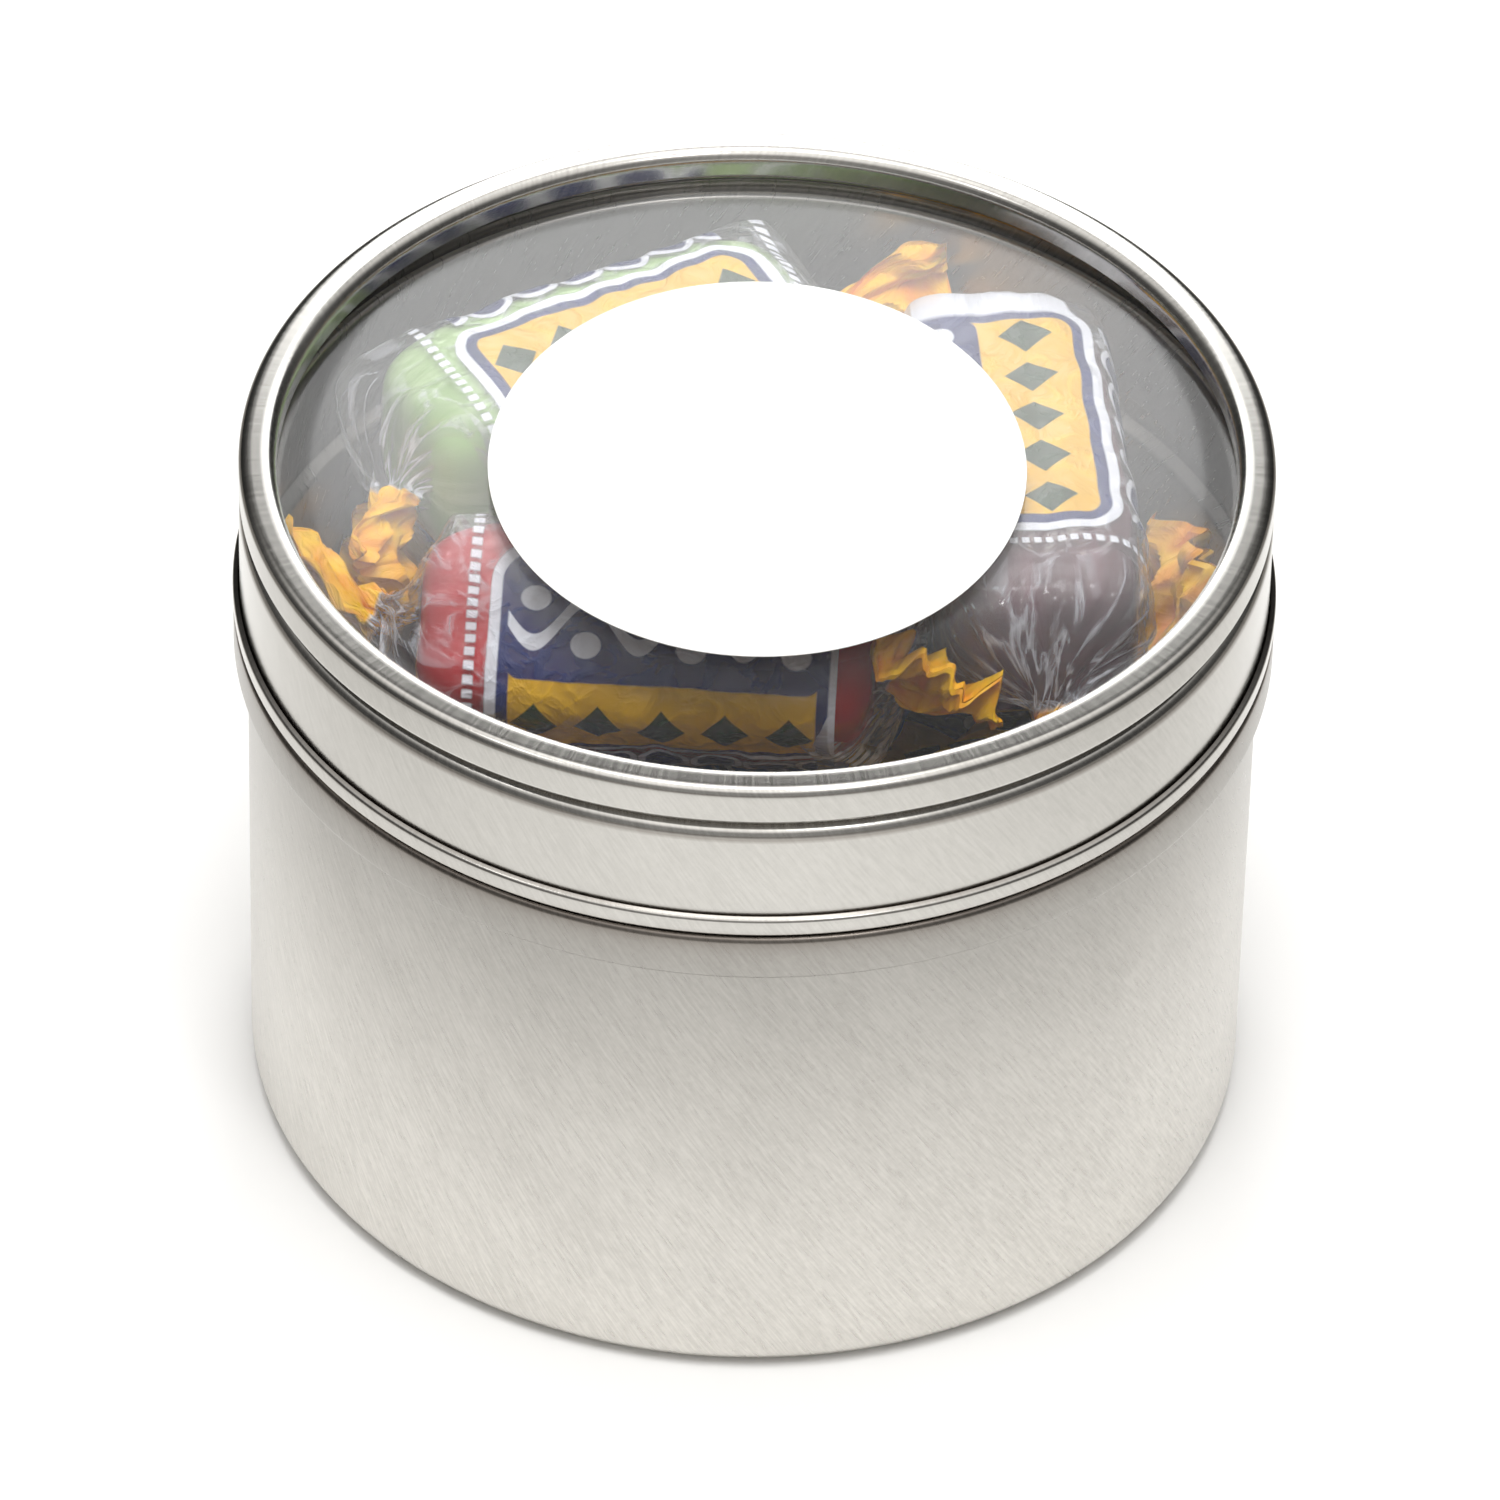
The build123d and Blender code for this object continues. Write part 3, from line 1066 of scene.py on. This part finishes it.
@dataclass
class Sweet:
    """One wrapped sweet: a sugar block and the film round it, in the block's own frame.

    Its length lies along X and its print faces +Z, turned round X by print_turn degrees. A
    print_side of -1 turns the print upside down.
    """

    name: str
    flavour: Flavour
    detail: Detail
    heading: float
    roll: float
    tails: tuple
    seed: int
    print_turn: float = 0.0
    print_shift: float = 0.0
    print_side: int = 1
    length: float = 28.96
    width: float = 13.2
    height: float = 12.73
    corner_power: float = 5.0
    dent_share: float = 0.012
    dent_waves: tuple = (0.55, 0.5)
    streak_radius: float = 6.0
    film_gap: float = 0.28
    film_end: float = 2.0
    neck_gap: float = 0.4
    neck_run: float = 2.4
    neck_width: float = 1.7
    fan_run: float = 9.0
    fan_width: float = 10.0
    crinkle_count: int = 16
    crinkle_pitch: tuple = (1.6, 6.0)
    crinkle_height: float = 0.13
    crushed_height: float = 0.16
    pleat_turns: tuple = (6, 9, 13, 19)
    pleat_height: float = 1.1
    fold_start: float = 0.3
    fold_height: float = 1.8
    fold_waves: tuple = ((2.3, 1.0), (3.7, 0.8), (6.1, 0.42), (9.0, 0.22))
    fan_bow: float = 0.9
    can_inside: float = 31.7
    floor_level: float = 0.75
    ceiling_gap: float = 0.1

    def to_tin(self, points: np.ndarray) -> np.ndarray:
        """Take points from the sweet's frame to the tin's: rolled, turned and moved."""
        low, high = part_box(f"{self.name}_sweet")
        turn, roll = radians(self.heading), radians(self.roll)
        spin = np.array([[cos(turn), -sin(turn), 0], [sin(turn), cos(turn), 0], [0, 0, 1]])
        tilt = np.array([[1, 0, 0], [0, cos(roll), -sin(roll)], [0, sin(roll), cos(roll)]])
        centre = (np.array(low) + np.array(high)) / 2 / MM
        return points @ (spin @ tilt).T + centre

    def kept_in(self, points: np.ndarray) -> np.ndarray:
        """Press points that would pass the can's wall, its floor or the window back inside."""
        radius = np.hypot(points[..., 0], points[..., 1])
        share = np.minimum(1, self.can_inside / np.maximum(radius, 1))
        ceiling = levels("window_disc")[0] - self.ceiling_gap
        height = np.clip(points[..., 2], self.floor_level, ceiling)
        return np.stack([points[..., 0] * share, points[..., 1] * share, height], axis=-1)

    def build_block(self, material: Material) -> None:
        """Make the sugar block.

        Its surface is a ball whose every point is pushed out until the fifth powers of its
        three distances, each as a share of half the block's size, add up to one. Faint dents
        follow slow waves.
        """
        rows, columns = (count // 2 for count in self.detail.value)
        polar = np.linspace(0, pi, rows)[:, None]
        angle = np.linspace(0, 2 * pi, columns, endpoint=False)[None, :]
        x, rim = np.cos(polar), np.sin(polar)
        ball = np.stack([x + 0 * angle, rim * np.cos(angle), rim * np.sin(angle)], axis=-1)
        half = np.array([self.length, self.width, self.height]) / 2
        power = self.corner_power
        block = ball * half * (np.abs(ball) ** power).sum(-1, keepdims=True) ** (-1 / power)
        long_wave, cross_wave = self.dent_waves
        dents = np.sin(block[..., :1] * long_wave + self.seed)
        dents = np.abs(dents * np.cos(block[..., 1:2] * cross_wave))
        block = block * (1 - self.dent_share * dents)
        round_it = np.arctan2(block[..., 2], block[..., 1]) * self.streak_radius
        uv = np.stack([block[..., 0], round_it], axis=-1)
        uv = np.concatenate([uv, uv[:, :1]], axis=1)
        piece = grid_object(f"{self.name}_sugar_block", self.to_tin(block), uv=uv)
        hand_over(piece, "can", f"{self.name}_sweet", material)

    def film_line(self, rows: int) -> FilmLine:
        """Lay out the film along its length.

        The middle runs straight through the block. Past each end it follows a curve drawn to
        three points, the block's end, the neck and the tip: (1-t)^2 A + 2t(1-t) B + t^2 C.
        The film's half width and half depth there go from the block's to a thin neck's and
        on to a fan's, by the values given at shares of the tail.

        Args:
            rows: points along the film.

        Returns:
            The film's line.
        """
        ends = []
        body_end = self.length / 2 - self.film_end
        for heading, tail in zip((180, 0), self.tails):
            out, _ = tail.directions(heading, 0)
            half_way, _ = tail.directions(heading, 0.5)
            along, fan = tail.directions(heading, 1)
            neck = out * (self.length / 2 + self.neck_gap) + half_way * self.neck_run
            tip = neck + along * self.fan_run * tail.run_share
            t = np.linspace(0, 1, rows // 3)[:, None]
            middle = (1 - t) ** 2 * out * body_end + 2 * t * (1 - t) * neck + t**2 * tip
            side = np.array([0, 1.0 if heading == 0 else -1.0, 0])
            ends.append((t[:, 0], middle, side * (1 - t) + fan * t))
        (left_t, left, left_fan), (right_t, right, right_fan) = ends
        x = np.linspace(-body_end, body_end, rows - 2 * (rows // 3) + 2)[1:-1]
        t = np.concatenate([left_t[::-1], 0 * x, right_t])
        straight = np.stack([x, 0 * x, 0 * x], axis=1)
        sideways = np.tile([0.0, 1.0, 0.0], (len(x), 1))
        body_width, body_depth = self.width / 2 + self.film_gap, self.height / 2 + self.film_gap
        neck, fan = self.neck_width, self.fan_width / 2
        shares = [0.0, 0.12, 0.24, 0.38, 0.46, 0.6, 0.8, 1.0]
        wides = [body_width, body_width * 0.97, 4.8, neck, neck, fan * 0.62, fan * 0.9, fan]
        deeps = [body_depth, body_depth * 0.96, 4.1, neck * 0.85, neck * 0.7, 0.9, 0.55, 0.4]
        crush = np.interp(t, [0.0, 0.1, 0.26, 0.5, 0.7, 1.0], [0.0, 0.3, 1.0, 1.0, 0.45, 0.3])
        return FilmLine(
            middle=np.vstack([left[::-1], straight, right]),
            fan=np.vstack([-left_fan[::-1], sideways, right_fan]),
            tail=t[:, None],
            wide=softened(np.interp(t, shares, wides)),
            deep=softened(np.interp(t, shares, deeps)),
            power=np.interp(t, [0.0, 0.12, 0.26, 0.4], [4.4, 3.6, 2.4, 2.0])[:, None],
            crush=softened(crush),
        )

    def crinkles(self, line: FilmLine, run: np.ndarray, angle: np.ndarray) -> np.ndarray:
        """Return the creases' height over the film: the sum of sharp-topped waves.

        Each wave is a * |sin(way + phase)|^3, where way grows along and round the film, by a
        whole number of waves a turn. Its height grows with how crushed the film is.

        Args:
            line: the film's line.
            run: the distance along the film, a column.
            angle: the angle round it, a row.

        Returns:
            Heights in millimetres, rows by columns.
        """
        random = np.random.default_rng(self.seed)
        heights = np.zeros(np.broadcast(run, angle).shape)
        for _ in range(self.crinkle_count):
            tilt, pitch = random.uniform(0, pi), random.uniform(*self.crinkle_pitch)
            phase = random.uniform(0, 9)
            waves = max(1, round(abs(sin(tilt)) * (self.width + self.height) / pitch))
            way = run * cos(tilt) * pi / pitch + angle * waves * 0.5
            heights += np.abs(np.sin(way + phase)) ** 3 * random.uniform(-1, 1)
        return heights * (self.crinkle_height + self.crushed_height * line.crush)

    def pleats(
        self, random: np.random.Generator, run: np.ndarray, angle: np.ndarray
    ) -> np.ndarray:
        """Return how far the neck's pleats, which wind round it, swell the film: a share."""
        total = np.zeros(np.broadcast(run, angle).shape)
        for turns in self.pleat_turns:
            phase, slide = random.uniform(0, 2 * pi), random.uniform(0.1, 0.35)
            wave = np.abs(np.sin(turns * angle / 2 + phase + slide * run))
            total += (0.6 - wave) * self.pleat_height / turns
        return total

    def folds(
        self, random: np.random.Generator, run: np.ndarray, across: np.ndarray, out: np.ndarray
    ) -> np.ndarray:
        """Return the height of the fan's folds.

        Args:
            random: the source of their phases.
            run: the distance along the film, a column.
            across: the place across the fan, as a share of its half width.
            out: how far out along the fan, from 0 to 1, a column.

        Returns:
            Heights in millimetres: saw-toothed waves, and one broad bow.
        """
        total = np.zeros_like(across)
        for count, height in self.fold_waves:
            phase = random.uniform(0, 9)
            bend = 0.25 * np.sin(run * random.uniform(0.4, 0.9) + phase)
            saw = np.abs(((across * count / 2 + phase + bend) % 1) * 2 - 1) - 0.5
            total += saw * height
        bow = np.sin(across * 2 + self.seed) * out**2 * self.fan_bow
        return total * out**0.8 * self.fold_height + bow

    def build_film(self, material: Material) -> None:
        """Make the film.

        Round each point of its middle runs a flattened ring, |y/a|^p + |z/b|^p = 1. Pleats
        swell and pinch the ring near the neck and wind round it, and past the neck the ring
        is folded up and down across its width like a fan, with folds that spread outwards.
        """
        rows, columns = self.detail.value
        line = self.film_line(rows)
        along, fan, lift, run = line.frame()
        random = np.random.default_rng(self.seed + 50)
        angle = np.linspace(0, 2 * pi, columns, endpoint=False)[None, :]
        c, s = np.cos(angle), np.sin(angle)
        ring = (np.abs(c) ** line.power + np.abs(s) ** line.power) ** (-1 / line.power)
        swell = 1 + self.pleats(random, run, angle) * line.crush
        bump = self.crinkles(line, run, angle)
        y = line.wide * ring * c * swell + bump * c
        flat = line.deep * ring * s
        out = np.clip((line.tail - self.fold_start) / (1 - self.fold_start), 0, 1)
        z = flat * swell + bump * s + self.folds(random, run, y / line.wide, out)
        ragged = np.interp(angle, np.linspace(0, 2 * pi, 9), random.uniform(-0.6, 0.2, 9))
        ragged[0, -1] = ragged[0, 0]
        longer = ragged * out**3 * np.sign(line.middle[:, :1])
        flat_grid = line.middle[:, None] + y[..., None] * fan[:, None]
        grid = flat_grid + z[..., None] * lift[:, None] + longer[..., None] * along[:, None]
        # Each tip is closed by a last ring whose two sides lie on one another.
        caps = flat_grid + (z - flat)[..., None] * lift[:, None]
        grid = np.concatenate([caps[:1], grid, caps[-1:]])

        u = with_ends(run) - self.print_shift + np.zeros((1, columns + 1))
        round_it = np.linspace(0, 2 * pi, columns + 1) - pi / 2 - radians(self.print_turn)
        v = round_it * (self.width + self.height) / pi * self.print_side + 0 * u
        maps = {
            "tail": np.repeat(with_ends(line.tail), columns, 1),
            "crush": np.repeat(with_ends(line.crush), columns, 1),
        }
        shape = self.kept_in(self.to_tin(grid))
        piece = grid_object(f"{self.name}_film", shape, maps=maps, uv=np.stack([u, v], axis=-1))
        hand_over(piece, "can", f"{self.name}_wrapper", material)


@dataclass
class Filling:
    """The nine sweets in the tin, in three layers, laid as their solids lie."""

    film: Material

    def sweets(self) -> list[Sweet]:
        """Return the sweets, from the bottom up."""
        buried, shown = Detail.BURIED, Detail.SHOWN
        red, green, purple, blue = Flavour.RED, Flavour.GREEN, Flavour.PURPLE, Flavour.BLUE
        layers = (
            ("bottom_blue", blue, buried, 150, 0, (Tail(-15, 0, 80, 0.9), Tail(-5, 45, 140))),
            ("bottom_green", green, buried, 88, 0, (Tail(15, 0, 110), Tail(-15, 0, 90))),
            ("bottom_red", red, buried, 30, 0, (Tail(-15, 0, 90), Tail(15, 0, 90))),
            ("middle_purple", purple, buried, 8, 35, (Tail(-10, 10, 140, 0.9), Tail(-20, 0, 70))),
            ("middle_red", red, buried, 125, 0, (Tail(20, -20, 60), Tail(-15, 0, 70))),
            ("middle_blue", blue, shown, 50, 0, (Tail(0, 35, 20), Tail(-15, 75, 0, 1.6))),
            ("top_green", green, shown, 30, 0, (Tail(60, -20, 100, 0.8), Tail(-20, 5, 80, 0.8))),
            ("top_red", red, shown, -3, 35, (Tail(-30, -20, 120, 0.8), Tail(-55, 65, 120, 0.9))),
            ("top_purple", purple, shown, 96, 0, (Tail(15, -50, 170), Tail(-65, -75, 160, 0.8))),
        )
        prints = {"top_green": (36, 1, 1), "top_red": (29, 1.5, -1), "top_purple": (-22, 2, -1)}
        return [
            Sweet(*row, seed, *prints.get(row[0], ())) for seed, row in enumerate(layers, start=11)
        ]

    def build(self) -> None:
        """Make each sweet's block and film."""
        sugars = {kind: BoiledSugar(*kind.value).build() for kind in Flavour}
        for sweet in self.sweets():
            sweet.build_block(sugars[sweet.flavour])
            sweet.build_film(self.film)


# The studio


@dataclass(frozen=True)
class Lamp:
    """A soft rectangular lamp that the camera doesn't see.

    Its size is its width and height, its watts are its power, and mirrored says whether
    glossy surfaces show it.
    """

    name: str
    place: tuple
    size: tuple
    watts: float
    mirrored: bool = True
    target: tuple = (0.0, 0.0, 0.03)

    def build(self) -> None:
        """Hang the lamp, facing its target."""
        data = bpy.data.lights.new(self.name, "AREA")
        data.shape = "RECTANGLE"
        data.size, data.size_y = self.size
        data.energy = self.watts
        lamp = bpy.data.objects.new(self.name, data)
        lamp.location = self.place
        way = Vector(self.target) - Vector(self.place)
        lamp.rotation_euler = way.to_track_quat("-Z", "Y").to_euler()
        lamp.visible_camera = False
        lamp.visible_glossy = self.mirrored
        bpy.context.scene.collection.objects.link(lamp)


@dataclass
class Studio:
    """The pale floor, the soft lamps and the camera at the photograph's angle."""

    table: Material
    lamps: tuple = (
        Lamp("overhead", (0.0, -0.2, 0.8), (0.3, 0.3), 2.45, mirrored=False),
        Lamp("softbox", (0.0, 0.05, 0.8), (0.3, 0.3), 0.8),
        Lamp("back_card", (0.0, 0.125, 0.1), (0.07, 0.1), 0.07, target=(0.0, 0.0, 0.06)),
        Lamp("right_sparkle", (0.15, -0.3, 0.6), (0.08, 0.08), 0.25),
        Lamp("left_sparkle", (-0.3, -0.1, 0.6), (0.08, 0.08), 0.1),
    )
    lens_mm: float = 298.7
    sensor_mm: float = 36.0
    picture_pixels: float = 1500.0
    aim_pixel: tuple = (754.7, 573.77)
    aim_height: float = 0.0389
    distance: float = 0.787
    elevation: float = 40.12
    roll: float = 1.402
    clip_start: float = 0.05
    soft_white: str = "#f6f4f2"
    side_range: tuple = (0.2, 0.95)
    side_light: tuple = (1.6, 0.3)
    back_range: tuple = (0.4, 0.7)
    back_share: float = 0.12
    rise_range: tuple = (0.5, 0.85)
    horizon_share: float = 0.25
    floor_reach: float = 3.0

    def build_camera(self) -> None:
        """Place the camera so that the aim point falls on its pixel, with no lens shift."""
        rise, roll = radians(self.elevation), radians(self.roll)
        back = Vector((0, -cos(rise), sin(rise)))
        right = Vector((cos(roll), sin(roll) * sin(rise), sin(roll) * cos(rise)))
        up = Vector((-sin(roll), cos(roll) * sin(rise), cos(roll) * cos(rise)))
        focal = self.lens_mm / self.sensor_mm * self.picture_pixels
        across, down = ((self.picture_pixels / 2 - pixel) / focal for pixel in self.aim_pixel)
        place = Vector((0, 0, self.aim_height)) + back * self.distance
        back = (back - right * across + up * down).normalized()
        right = (right - back * right.dot(back)).normalized()
        up = back.cross(right)
        data = bpy.data.cameras.new("camera")
        data.lens = self.lens_mm
        data.sensor_width = self.sensor_mm
        data.clip_start = self.clip_start
        camera = bpy.data.objects.new("camera", data)
        turn = Matrix((right, up, back)).transposed().to_4x4()
        camera.matrix_world = Matrix.Translation(place) @ turn
        bpy.context.scene.collection.objects.link(camera)
        bpy.context.scene.camera = camera

    def build_world(self) -> None:
        """Light everything softly, and show plain white where nothing is.

        The light is darker from the two sides, from behind and from low down: one product of
        three ramps, over |X|, over Y and over Z.
        """
        world = bpy.data.worlds.new("studio")
        world.use_nodes = True
        graph = Graph(world.node_tree)
        way = graph.add("TexCoord").outputs["Generated"]
        x, y, z = graph.add("SeparateXYZ", (way,)).outputs
        off_middle = graph.add("Math", (x,), operation="ABSOLUTE")
        shade = graph.add("MapRange", (off_middle, *self.side_range, *self.side_light))
        for ramp in (
            (y, *self.back_range, 1.0, self.back_share),
            (z, *self.rise_range, self.horizon_share, 1.0),
        ):
            level = graph.add("MapRange", ramp, interpolation_type="SMOOTHSTEP")
            shade = graph.add("Math", (shade, level), operation="MULTIPLY")
        soft = graph.add("Background", {"Color": self.soft_white, "Strength": shade})
        white = graph.add("Background", {"Color": "#ffffff", "Strength": 1.0})
        seen = graph.add("LightPath").outputs["Is Camera Ray"]
        graph.add("OutputWorld", {"Surface": graph.add("MixShader", (seen, soft, white))})
        bpy.context.scene.world = world

    def build_floor(self) -> None:
        """Lay a wide floor under the tin."""
        mesh = bpy.data.meshes.new("floor")
        sides = ((-1, -1), (1, -1), (1, 1), (-1, 1))
        corners = [(x * self.floor_reach, y * self.floor_reach, 0) for x, y in sides]
        mesh.from_pydata(corners, [], [(0, 1, 2, 3)])
        mesh.materials.append(self.table)
        floor = bpy.data.objects.new("floor", mesh)
        bpy.context.scene.collection.objects.link(floor)

    def build(self) -> None:
        """Make the camera, the floor and the light."""
        self.build_camera()
        self.build_floor()
        self.build_world()
        for lamp in self.lamps:
            lamp.build()
        bpy.context.scene.view_settings.view_transform = "Standard"


def main() -> None:
    """Build the tin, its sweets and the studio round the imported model."""
    logging.basicConfig(level=logging.INFO, format="%(name)s: %(message)s")
    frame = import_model()
    log.info("the frame has %d solids", len(frame["nodes"]))
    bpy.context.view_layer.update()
    Studio(WhiteTable().build()).build()
    # The can's plate is darkened towards the top of its wall by painted shade.
    Can(Tinplate("can_tinplate", "#e4e1db", "#d0cdc7", painted_shade_share=0.58).build()).build()
    Lid(
        Tinplate("lid_tinplate", "#d0cec9", "#c3c1bc", roughness=0.2).build(),
        ClearSheet().build(),
        LabelPaper().build(),
    ).build()
    Filling(PrintedFilm().build()).build()


if __name__ == "__main__":
    main()
